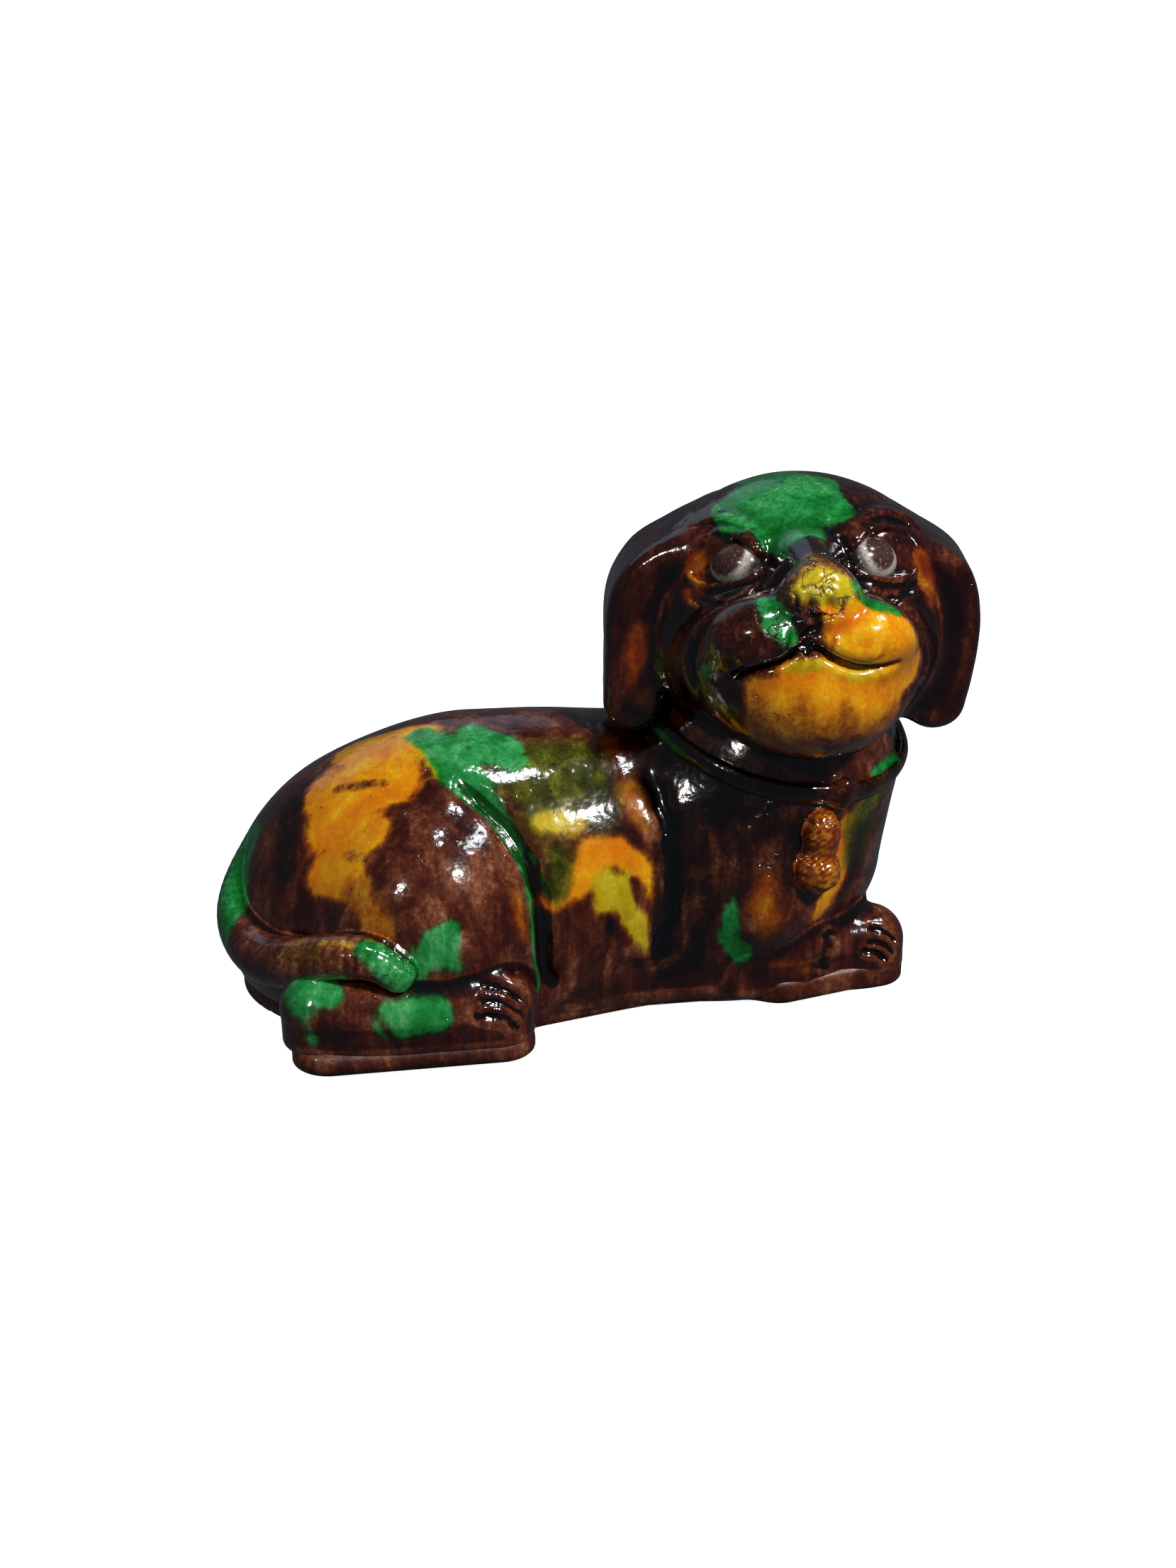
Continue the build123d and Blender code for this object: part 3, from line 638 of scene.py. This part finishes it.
# Places where the glaze has crazed or cracked away.
BODY_CRAZED = [([(42, -34, 56), (36, -37, 43)], [6, 5]),
               ([(32, -38, 18), (33, -37, 14)], [2.2, 2.2]),
               ([(-56, -52, 26), (-50, -54, 23)], [3, 3])]
HEAD_CRAZED = [([(0, 4, 44), (2, -1, 50)], [6, 6]),
               ([(-10, -4, 45), (-7, -9, 48)], [4, 4])]
HEAD_STROKES = {
    "amber": [([(4, -5, 50), (11, -8, 48), (20, -11, 46)], [4.4, 6, 6.4]),
              ([(6, -12, 48), (15, -16, 47), (24, -17, 37)], [4, 5, 6]), ([(22, -22, 38), (17, -29, 36)], [5, 4.6]),
              ([(-6, -19, 45), (5, -19, 44), (12, -22, 42)], [3, 3.4, 4]),
              ([(-12, -24, 42), (0, -25, 44), (13, -26, 41)], [4.4, 5, 5]),
              ([(-10, -31, 40), (2, -31, 42), (13, -31, 38)], [4.4, 5, 4.6]),
              ([(-6, -36, 35), (1, -38, 33)], [3.6, 3.6]), ([(-26.5, 9, 20), (-27.5, 5, 21)], [2.2, 1.8]),
              ([(28.5, 11, 19), (30.5, 4, 18)], [1.7, 1.3]), ([(12, 8, -36), (6, -8, -32)], [7, 6])],
    "lime": [([(0, 6, 41), (1, 2, 47)], [3.2, 4]), ([(-4, -0.5, 50), (6, -0.5, 50)], [3.6, 4.2]),
             ([(9, -19.6, 43), (14, -19, 42)], [1.8, 1.7]), ([(-6, -18, 45), (2, -17.4, 45)], [1.5, 1.3])],
    "green": [([(-17, 24, 16), (-8, 28, 13), (4, 29, 14)], [6, 7, 6]),
              ([(-17, 20, 21), (-5, 21, 23), (7, 22, 21)], [5.4, 6, 5.6]),
              ([(-8, 14.5, 27), (0, 14.5, 28)], [4.6, 4.8]), ([(-3, 11, 30), (0, 8, 36)], [3.2, 1.4]),
              ([(-7, 31, 2), (-4, 29, -8)], [9, 7]), ([(9, 0, 46), (14, -3, 44), (19, -6, 42)], [2, 2.4, 1.8]),
              ([(-11, -3, 45), (-9, -8, 48), (-6, -12, 48)], [3.2, 4.2, 2.8]),
              ([(-24, -2, -26), (-28, -14, -18)], [6, 5])],
    "olive": [([(-17, -33, 31), (-13, -37, 29)], [2, 2]), ([(-5, 2, 46), (-6, -2, 48)], [1.4, 1.2])],
    "rust": [([(-40, -6, 9), (-41, -15, 6), (-40, -23, 3)], [3, 3.6, 3]),
             ([(-3, -27, 44), (-2, -36, 37)], [1.0, 1.8]), ([(8, -28, 42), (8, -37, 34)], [1.6, 2.8]),
             ([(-14, -27, 40), (-14, -34, 35)], [2.4, 3]),
             ([(-12, -29, 41), (-2, -32, 41), (9, -33, 38)], [0.8, 1.4, 1.6]),
             ([(29, 11, 18), (31, 0, 16)], [2.2, 1.8]), ([(-26.5, 9, 20), (-27.5, 3, 21)], [4, 3.4]),
             ([(22, -29, 33), (12, -38, 31)], [4, 3.6]), ([(-13, -34, 34), (-2, -40, 31)], [3.4, 3])],
    "dark": [([(-26, -2, 26), (-30, -14, 24), (-26, -26, 26)], [3, 3.4, 3]),
             ([(31, -4, 14), (30, -20, 18)], [2, 2.5])],
}


def brushed(points, strokes):
    """Signed distance in mm to the edge of the nearest stroke, under 0 inside it."""
    best = np.full(len(points), 60.0)
    for path, halves in strokes:
        best = joined(best, coil(points, path, halves), 5.0)
    return best


def paint(piece, slot):
    """Each colour's distance is kept on the piece; the head and ears are painted in the face's own axes."""
    flat = np.zeros(len(piece.data.vertices) * 3)
    piece.data.vertices.foreach_get("co", flat)
    points = flat.reshape(-1, 3) / MM
    book, crazed = BODY_STROKES, BODY_CRAZED
    if slot in ("face_glaze", "ear_glaze"):
        points = (points - HEAD_AT) @ FACE_AXES
        book, crazed = HEAD_STROKES, HEAD_CRAZED
    if slot == "pendant_glaze":
        book, crazed = PENDANT_STROKES, []
    for colour in COATS:
        keep(piece.data, colour, brushed(points, book.get(colour, [])))
    keep(piece.data, "crazed", brushed(points, crazed))


# --- node groups ------------------------------------------------------------------------------------------
def new_group(name, numbers, *results):
    """An empty shader group: coordinates and numbers with their defaults go in, and the results come out."""
    tree = bpy.data.node_groups.new(name, "ShaderNodeTree")
    tree.interface.new_socket("Coordinates", in_out="INPUT", socket_type="NodeSocketVector")
    for label, default in numbers.items():
        tree.interface.new_socket(label, in_out="INPUT", socket_type="NodeSocketFloat").default_value = default
    for label in results:
        kind = "Color" if label == "Colour" else "Float"
        tree.interface.new_socket(label, in_out="OUTPUT", socket_type="NodeSocket" + kind)
    given = tree.nodes.new("NodeGroupInput").outputs
    return tree, given, given["Coordinates"], tree.nodes.new("NodeGroupOutput").inputs


def fill(tree, node, sockets):
    """Each socket of a node takes a number, a colour or another node's output."""
    for key, value in sockets.items():
        if isinstance(value, bpy.types.NodeSocket):
            tree.links.new(value, node.inputs[key])
        else:
            node.inputs[key].default_value = value


def put(tree, kind, sockets, output=0, **settings):
    """A node with its settings and its sockets filled; one of its outputs comes back."""
    node = tree.nodes.new("ShaderNode" + kind)
    for name, value in settings.items():
        setattr(node, name, value)
    fill(tree, node, sockets)
    return node.outputs[output]


def sum_of(tree, operation, *values):
    return put(tree, "Math", dict(enumerate(values)), operation=operation)


def about_zero(tree, value, middle=0.5):
    return sum_of(tree, "SUBTRACT", value, middle)


def mixed(tree, mask, under, over):
    """Two colours mixed by a mask."""
    return put(tree, "Mix", {0: mask, 6: under, 7: over}, output=2, data_type="RGBA")


def noise(tree, where, scale, detail=2.0, roughness=0.5, distortion=0.0):
    return put(tree, "TexNoise", {"Vector": where, "Scale": scale, "Detail": detail, "Roughness": roughness,
                                  "Distortion": distortion})


def ramp(tree, value, low, high, to_low=0.0, to_high=1.0):
    """A smooth step of the value between low and high."""
    return put(tree, "MapRange", {"Value": value, "From Min": low, "From Max": high, "To Min": to_low,
                                  "To Max": to_high}, interpolation_type="SMOOTHSTEP")


def stretched(tree, where, x, y, z):
    return put(tree, "VectorMath", {0: where, 1: (x, y, z)}, operation="MULTIPLY")


def brushed_edge_group():
    """Turns a distance in mm into a mask whose edge runs downwards in streaks and breaks into specks."""
    tree, given, where, out = new_group("brushed_edge", {"Distance": 0.0, "Run": 3.0, "Softness": 0.8}, "Mask")
    streak = noise(tree, stretched(tree, where, 1, 1, 0.35), 330.0, 3.0, 0.6, 0.4)
    broad = noise(tree, where, 95.0, 2.0, 0.5, 0.5)
    speck = noise(tree, where, 1100.0, 2.0, 0.6)
    push = sum_of(tree, "MULTIPLY", about_zero(tree, streak), 2.4)
    push = sum_of(tree, "MULTIPLY_ADD", about_zero(tree, broad), 2.6, push)
    push = sum_of(tree, "MULTIPLY_ADD", about_zero(tree, speck), 0.7, push)
    moved = sum_of(tree, "MULTIPLY_ADD", push, given["Run"], given["Distance"])
    soft = given["Softness"]
    mask = put(tree, "MapRange", {"Value": moved, "From Min": soft, "From Max": sum_of(tree, "MULTIPLY", soft, -1.0)},
               interpolation_type="SMOOTHSTEP")
    tree.links.new(mask, out["Mask"])
    return tree


def glaze_film_group():
    """How thick the glaze lies: clouds and fine stipple, thick in hollows, thin on ridges."""
    tree, given, where, out = new_group("glaze_film", {"Hollow": 0.0, "Pooling": 1.0, "Stipple": 1.0}, "Film")
    clouds = noise(tree, stretched(tree, where, 1, 1, 0.6), 120.0, 3.0, 0.6, 0.6)
    clouds = ramp(tree, clouds, 0.3, 0.7, 0.84, 1.42)
    streaks = noise(tree, stretched(tree, where, 1, 1, 0.22), 420.0, 2.0, 0.6, 0.3)
    streaks = ramp(tree, streaks, 0.3, 0.7, -0.12, 0.12)
    stipple = about_zero(tree, noise(tree, where, 900.0, 3.0, 0.7))
    film = sum_of(tree, "ADD", clouds, streaks)
    film = sum_of(tree, "MULTIPLY_ADD", sum_of(tree, "MULTIPLY", stipple, 1.5), given["Stipple"], film)
    pool = put(tree, "MapRange", {"Value": given["Hollow"], "From Min": -0.05, "From Max": 0.10, "To Min": -0.25,
                                  "To Max": 0.9})
    film = sum_of(tree, "MULTIPLY_ADD", pool, given["Pooling"], film)
    tree.links.new(sum_of(tree, "MAXIMUM", film, 0.12), out["Film"])
    return tree


CLAY = (0.78, 0.66, 0.47)
# What each full coat takes out of red, green and blue light.
GREEN_TAKES, AMBER_TAKES, BROWN_TAKES = (4.1, 1.1, 2.0), (0.14, 0.76, 5.4), (2.1, 3.3, 3.5)
# Coats of green, amber and brown in each brushed colour, in the order they go on.
COATS = {"amber": (0.0, 1.18, 0.03), "rust": (0.0, 1.1, 0.5), "olive": (0.48, 0.85, 0.5), "lime": (0.12, 0.8, 0.0),
         "green": (1.06, 0.08, 0.02), "dark": (0.15, 0.3, 1.7)}


def glaze_colour_group():
    """Coats darken the clay as coloured glass does: the clay times exp(-(coats times what each takes))."""
    masks = {colour.capitalize(): 0.0 for colour in COATS}
    tree, given, _, out = new_group("glaze_colour", {"Film": 1.0, "Ground": 1.0, **masks}, "Colour")
    coats = put(tree, "CombineXYZ", {"X": 0.0, "Y": 0.12, "Z": given["Ground"]})
    for colour, coat in COATS.items():
        coats = put(tree, "Mix", {0: given[colour.capitalize()], 4: coats, 5: coat}, output=1, data_type="VECTOR")
    coats = put(tree, "VectorMath", {0: coats, "Scale": given["Film"]}, operation="SCALE")
    split = tree.nodes.new("ShaderNodeSeparateXYZ")
    tree.links.new(coats, split.inputs[0])
    total = None
    for share, takes in zip(split.outputs, (GREEN_TAKES, AMBER_TAKES, BROWN_TAKES)):
        part = put(tree, "VectorMath", {0: takes, "Scale": share}, operation="SCALE")
        total = part if total is None else put(tree, "VectorMath", {0: total, 1: part}, operation="ADD")
    light = tree.nodes.new("ShaderNodeSeparateXYZ")
    tree.links.new(total, light.inputs[0])
    seen = [sum_of(tree, "MULTIPLY", sum_of(tree, "EXPONENT", sum_of(tree, "MULTIPLY", channel, -1.0)), clay)
            for channel, clay in zip(light.outputs, CLAY)]
    colour = put(tree, "CombineColor", {"Red": seen[0], "Green": seen[1], "Blue": seen[2]})
    tree.links.new(colour, out["Colour"])
    return tree


def glaze_relief_group():
    """Relative height of the glaze: slow ripple, orange peel and pinholes; and a mask of the pinholes."""
    tree, given, where, out = new_group("glaze_relief", {"Peel": 1.0, "Pinholes": 1.0}, "Height", "Pits")
    slow = noise(tree, where, 170.0, 2.0, 0.5)
    peel = noise(tree, where, 620.0, 3.0, 0.55)
    cell = put(tree, "TexVoronoi", {"Vector": where, "Scale": 330.0, "Randomness": 1.0}, feature="F1")
    rare = ramp(tree, noise(tree, where, 260.0, 1.0), 0.55, 0.68)
    pits = sum_of(tree, "MULTIPLY", ramp(tree, cell, 0.16, 0.05), rare)
    pits = sum_of(tree, "MULTIPLY", pits, given["Pinholes"])
    height = sum_of(tree, "MULTIPLY_ADD", slow, 0.45, sum_of(tree, "MULTIPLY", peel, 0.09))
    height = sum_of(tree, "MULTIPLY", height, given["Peel"])
    height = sum_of(tree, "MULTIPLY_ADD", pits, -0.25, height)
    tree.links.new(height, out["Height"])
    tree.links.new(pits, out["Pits"])
    return tree


def crackle_group():
    """Thin broken cracks: edges of stretched cells, bent by noise, kept only where a slow noise is high."""
    tree, given, where, out = new_group("crackle", {"Cell Scale": 120.0, "Amount": 0.0}, "Cracks")
    bend = put(tree, "TexNoise", {"Vector": where, "Scale": 260.0, "Detail": 3.0}, output=1)
    bend = put(tree, "VectorMath", {0: bend, "Scale": 0.005}, operation="SCALE")
    bent = put(tree, "VectorMath", {0: where, 1: bend}, operation="ADD")
    edge = put(tree, "TexVoronoi", {"Vector": bent, "Scale": given["Cell Scale"]}, feature="DISTANCE_TO_EDGE")
    line = ramp(tree, edge, 0.035, 0.0)
    patchy = ramp(tree, noise(tree, where, 75.0, 2.0), 0.35, 0.5)
    line = sum_of(tree, "MULTIPLY", sum_of(tree, "MULTIPLY", line, patchy), given["Amount"])
    tree.links.new(line, out["Cracks"])
    return tree


def bare_clay_group():
    """Fired reddish-tan body: blotches and fine dark sand."""
    tree, _, where, out = new_group("bare_clay_body", {}, "Colour")
    blotch = noise(tree, where, 140.0, 4.0, 0.6)
    sand = noise(tree, where, 1500.0, 3.0, 0.7)
    colour = mixed(tree, ramp(tree, blotch, 0.35, 0.65), (0.16, 0.075, 0.045, 1), (0.42, 0.24, 0.15, 1))
    colour = mixed(tree, ramp(tree, sand, 0.55, 0.75, 0, 0.5), colour, (0.06, 0.03, 0.02, 1))
    tree.links.new(colour, out["Colour"])
    return tree


EDGE, FILM, COLOUR = brushed_edge_group(), glaze_film_group(), glaze_colour_group()
RELIEF, CRACKLE, BARE = glaze_relief_group(), crackle_group(), bare_clay_group()


# --- materials --------------------------------------------------------------------------------------------
def use(tree, group, **sockets):
    node = tree.nodes.new("ShaderNodeGroup")
    node.node_tree = group
    fill(tree, node, {name.replace("_", " "): value for name, value in sockets.items()})
    return node.outputs


def attribute(tree, name):
    return put(tree, "Attribute", {}, output="Fac", attribute_name=name)


def new_material(name):
    material = bpy.data.materials.new(name)
    material.use_nodes = True
    tree = material.node_tree
    shader = tree.nodes["Principled BSDF"]
    return material, tree, shader, put(tree, "TexCoord", {}, output="Object")


def raise_surface(tree, shader, height, distance):
    """A relative height, where 1 stands for the distance in metres, becomes the bump of the glaze and its coat."""
    bump = put(tree, "Bump", {"Height": height, "Strength": 1.0, "Distance": distance})
    fill(tree, shader, {"Normal": bump, "Coat Normal": bump})


CHIP_HEIGHT = 0.030     # metres that the worn edge rises for each unit of noise, at full wear
SOFT_EDGE = {"rust": 2.2, "olive": 3.2, "amber": 1.5, "lime": 1.5, "green": 1.1, "dark": 1.6}     # half width in mm


def glaze_material(name, ground=1.0, run=1.0, pooling=1.0, stipple=1.0, cracks=0.0, crack_scale=120.0, worn=0.01,
                   rough=0.14, coat=1.0):
    """Lead glaze over clay: brushed coats, pooling, cracks and pinholes, and bare clay where the low edge is worn."""
    material, tree, shader, where = new_material(name)
    masks = {}
    for colour in COATS:
        edge = use(tree, EDGE, Coordinates=where, Distance=attribute(tree, colour), Run=run, Softness=SOFT_EDGE[colour])
        masks[colour.capitalize()] = edge["Mask"]
    film = use(tree, FILM, Coordinates=where, Hollow=attribute(tree, "hollow"), Pooling=pooling, Stipple=stipple)
    glazed = use(tree, COLOUR, Film=film["Film"], Ground=ground, **masks)
    relief = use(tree, RELIEF, Coordinates=where)
    crazed = ramp(tree, attribute(tree, "crazed"), 2.0, -1.0, 0.0, cracks)
    cracked = use(tree, CRACKLE, Coordinates=where, Cell_Scale=crack_scale, Amount=crazed)["Cracks"]
    clay = use(tree, BARE, Coordinates=where)
    ink = sum_of(tree, "MAXIMUM", cracked, sum_of(tree, "MULTIPLY", relief["Pits"], 0.8))
    colour = mixed(tree, ink, glazed["Colour"], (0.012, 0.007, 0.006, 1))
    height_above = put(tree, "SeparateXYZ", {0: where}, output=2)
    chip_edge = about_zero(tree, noise(tree, where, 210.0, 4.0, 0.65), 0.56)
    chip_edge = sum_of(tree, "MULTIPLY", chip_edge, CHIP_HEIGHT * worn)
    chips = ramp(tree, sum_of(tree, "SUBTRACT", chip_edge, height_above), 0.0, 0.0006)
    colour = mixed(tree, chips, colour, clay["Colour"])
    dull = ramp(tree, noise(tree, where, 300.0, 4.0, 0.7), 0.55, 0.8, rough, rough + 0.14)
    dull = put(tree, "Mix", {0: chips, 2: dull, 3: 0.8}, data_type="FLOAT")
    fill(tree, shader, {"Base Color": colour, "Roughness": dull, "Coat Roughness": 0.06, "Coat IOR": 1.6,
                        "Coat Weight": ramp(tree, chips, 0.0, 1.0, coat, 0.0), "Specular IOR Level": 0.5})
    height = sum_of(tree, "MULTIPLY_ADD", cracked, -0.5, relief["Height"])
    height = sum_of(tree, "MULTIPLY_ADD", chips, -0.8, height)
    raise_surface(tree, shader, height, 0.0007)
    return material


def eye_material():
    """White slip with a speckled brown iris under clear glaze, and painted shade at the eyeball's edge by the lids; the
    iris is a distance kept on each eye.
    """
    material, tree, shader, where = new_material("eye_slip")
    iris = use(tree, EDGE, Coordinates=where, Distance=attribute(tree, "iris"), Run=0.35, Softness=0.5)["Mask"]
    speck = noise(tree, where, 1500.0, 3.0, 0.7)
    holes = ramp(tree, speck, 0.56, 0.68)
    slip = mixed(tree, ramp(tree, speck, 0.3, 0.55), (0.16, 0.12, 0.10, 1), (0.48, 0.45, 0.42, 1))
    brown = mixed(tree, holes, (0.045, 0.018, 0.014, 1), (0.22, 0.15, 0.12, 1))
    # Painted shade: the eyeball goes near black towards its edge, where it meets the lids.
    painted_lid_shade = ramp(tree, attribute(tree, "painted_lid_shade"), -1.2, 0.3)
    colour = mixed(tree, painted_lid_shade, mixed(tree, iris, slip, brown), (0.02, 0.012, 0.012, 1))
    relief = use(tree, RELIEF, Coordinates=where, Peel=0.5, Pinholes=0.6)
    fill(tree, shader, {"Base Color": colour, "Roughness": 0.2, "Coat Weight": 1.0, "Coat Roughness": 0.05})
    raise_surface(tree, shader, relief["Height"], 0.0006)
    return material


# --- backdrop, camera and lights --------------------------------------------------------------------------
FLOOR_HALF = 9      # metres
floor_mesh = bpy.data.meshes.new("floor")
floor_mesh.from_pydata([(x * FLOOR_HALF, y * FLOOR_HALF, 0) for x, y in ((-1, -1), (1, -1), (1, 1), (-1, 1))], [],
                       [(0, 1, 2, 3)])
floor = placed("floor", floor_mesh)
floor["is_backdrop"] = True
floor.visible_glossy = False
floor.visible_diffuse = False
floor_paint, floor_tree, floor_shader, floor_place = new_material("floor_paint")
floor_grain = ramp(floor_tree, noise(floor_tree, floor_place, 40.0), 0.0, 1.0, 0.80, 0.84)
fill(floor_tree, floor_shader, {"Base Color": floor_grain, "Roughness": 0.9, "Emission Color": (1, 1, 1, 1),
                                "Emission Strength": 0.95})
floor_mesh.materials.append(floor_paint)

CAMERA_AZIMUTH, CAMERA_ELEVATION = math.radians(-9), math.radians(23)
CAMERA_DISTANCE, CAMERA_TARGET = 0.600, vec(0, 0, 0.051)
back = vec(math.sin(CAMERA_AZIMUTH) * math.cos(CAMERA_ELEVATION),
           -math.cos(CAMERA_AZIMUTH) * math.cos(CAMERA_ELEVATION), math.sin(CAMERA_ELEVATION))
lens = bpy.data.cameras.new("camera")
lens.sensor_fit = "VERTICAL"
lens.sensor_height = 36
lens.lens = 52.4
lens.dof.use_dof = False
camera = placed("camera", lens)
camera.location = CAMERA_TARGET + back * CAMERA_DISTANCE
camera.rotation_euler = (math.pi / 2 - CAMERA_ELEVATION, 0, CAMERA_AZIMUTH)
bpy.context.scene.camera = camera


def softbox(name, place, size, power, tint):
    """A rectangular lamp, turned to face the middle of the dog."""
    light = bpy.data.lights.new(name, "AREA")
    light.shape = "RECTANGLE"
    light.size, light.size_y = size
    light.energy = power
    light.color = tint
    box = placed(name, light)
    box.location = place
    box.rotation_euler = (Vector((0, 0, 0.05)) - Vector(place)).to_track_quat("-Z", "Y").to_euler()


# Each lamp's place and size in metres, its power in watts and its tint.
LAMPS = {"key": ((0.50, -0.75, 0.95), (0.10, 0.09), 18.5, (1.0, 0.97, 0.93)),
         "side": ((-0.70, -0.80, 0.75), (0.06, 0.06), 2.2, (1.0, 0.94, 0.86)),
         "behind": ((-0.25, 0.85, 0.65), (0.9, 0.45), 0.3, (0.60, 0.78, 1.0)),
         "right": ((0.62, -0.11, 1.05), (0.24, 0.18), 1.6, (0.88, 0.94, 1.0)),
         "overhead": ((0.15, -0.1, 1.3), (0.12, 0.12), 1.8, (0.92, 0.96, 1.0))}
for name, settings in LAMPS.items():
    softbox(name, *settings)
world = bpy.data.worlds.new("studio")
world.use_nodes = True
world.node_tree.nodes["Background"].inputs["Color"].default_value = (0.72, 0.84, 1.0, 1)
world.node_tree.nodes["Background"].inputs["Strength"].default_value = 0.06
bpy.context.scene.world = world
bpy.context.scene.view_settings.view_transform = "Standard"

# --- pieces to the frame ----------------------------------------------------------------------------------
GLAZES = {
    "mottled_glaze": dict(run=1.35, ground=1.3, stipple=0.6, worn=0.5, cracks=0.8, crack_scale=95.0),
    "tail_glaze": dict(run=1.1, ground=1.15, cracks=0.8),
    "bare_clay": dict(ground=1.35, stipple=0.6, worn=0.6, rough=0.42, coat=0.15),
    "face_glaze": dict(run=1.1, ground=1.7, pooling=0.75, stipple=1.0, cracks=1.0, crack_scale=165.0),
    "foot_glaze": dict(run=0.8, ground=1.35, stipple=0.6, worn=0.8),
    "ear_glaze": dict(run=1.3, ground=1.6, pooling=0.6, stipple=0.6),
    "collar_glaze": dict(run=0.5, ground=1.5),
    "pendant_glaze": dict(run=0.3, stipple=1.4, pooling=0.45),
}
PAINTS = {name: glaze_material(name, **settings) for name, settings in GLAZES.items()}
PAINTS["eye_slip"] = eye_material()
pieces = [(body, "mottled_glaze", ["body_right_half", "body_left_half"]), (tail, "tail_glaze", ["tail"]),
          (slab, "bare_clay", ["base_slab"]), (head, "face_glaze", ["face_shell", "skull_shell"])]
pieces += [(piece, "foot_glaze", [name]) for name, piece in feet.items()]
pieces += [(piece, "eye_slip", [f"{name}_eye"]) for name, piece in eyes.items()]
pieces += [(piece, "ear_glaze", [f"{name}_ear"]) for name, piece in ears.items()]
pieces += [(collar, "collar_glaze", ["collar"]), (pendant, "pendant_glaze", ["pendant"])]
for piece, slot, nodes in pieces:
    piece.data.materials.append(PAINTS[slot])
    if slot != "eye_slip":
        paint(piece, slot)
    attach(piece, "root")
    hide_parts(*nodes)

low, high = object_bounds()
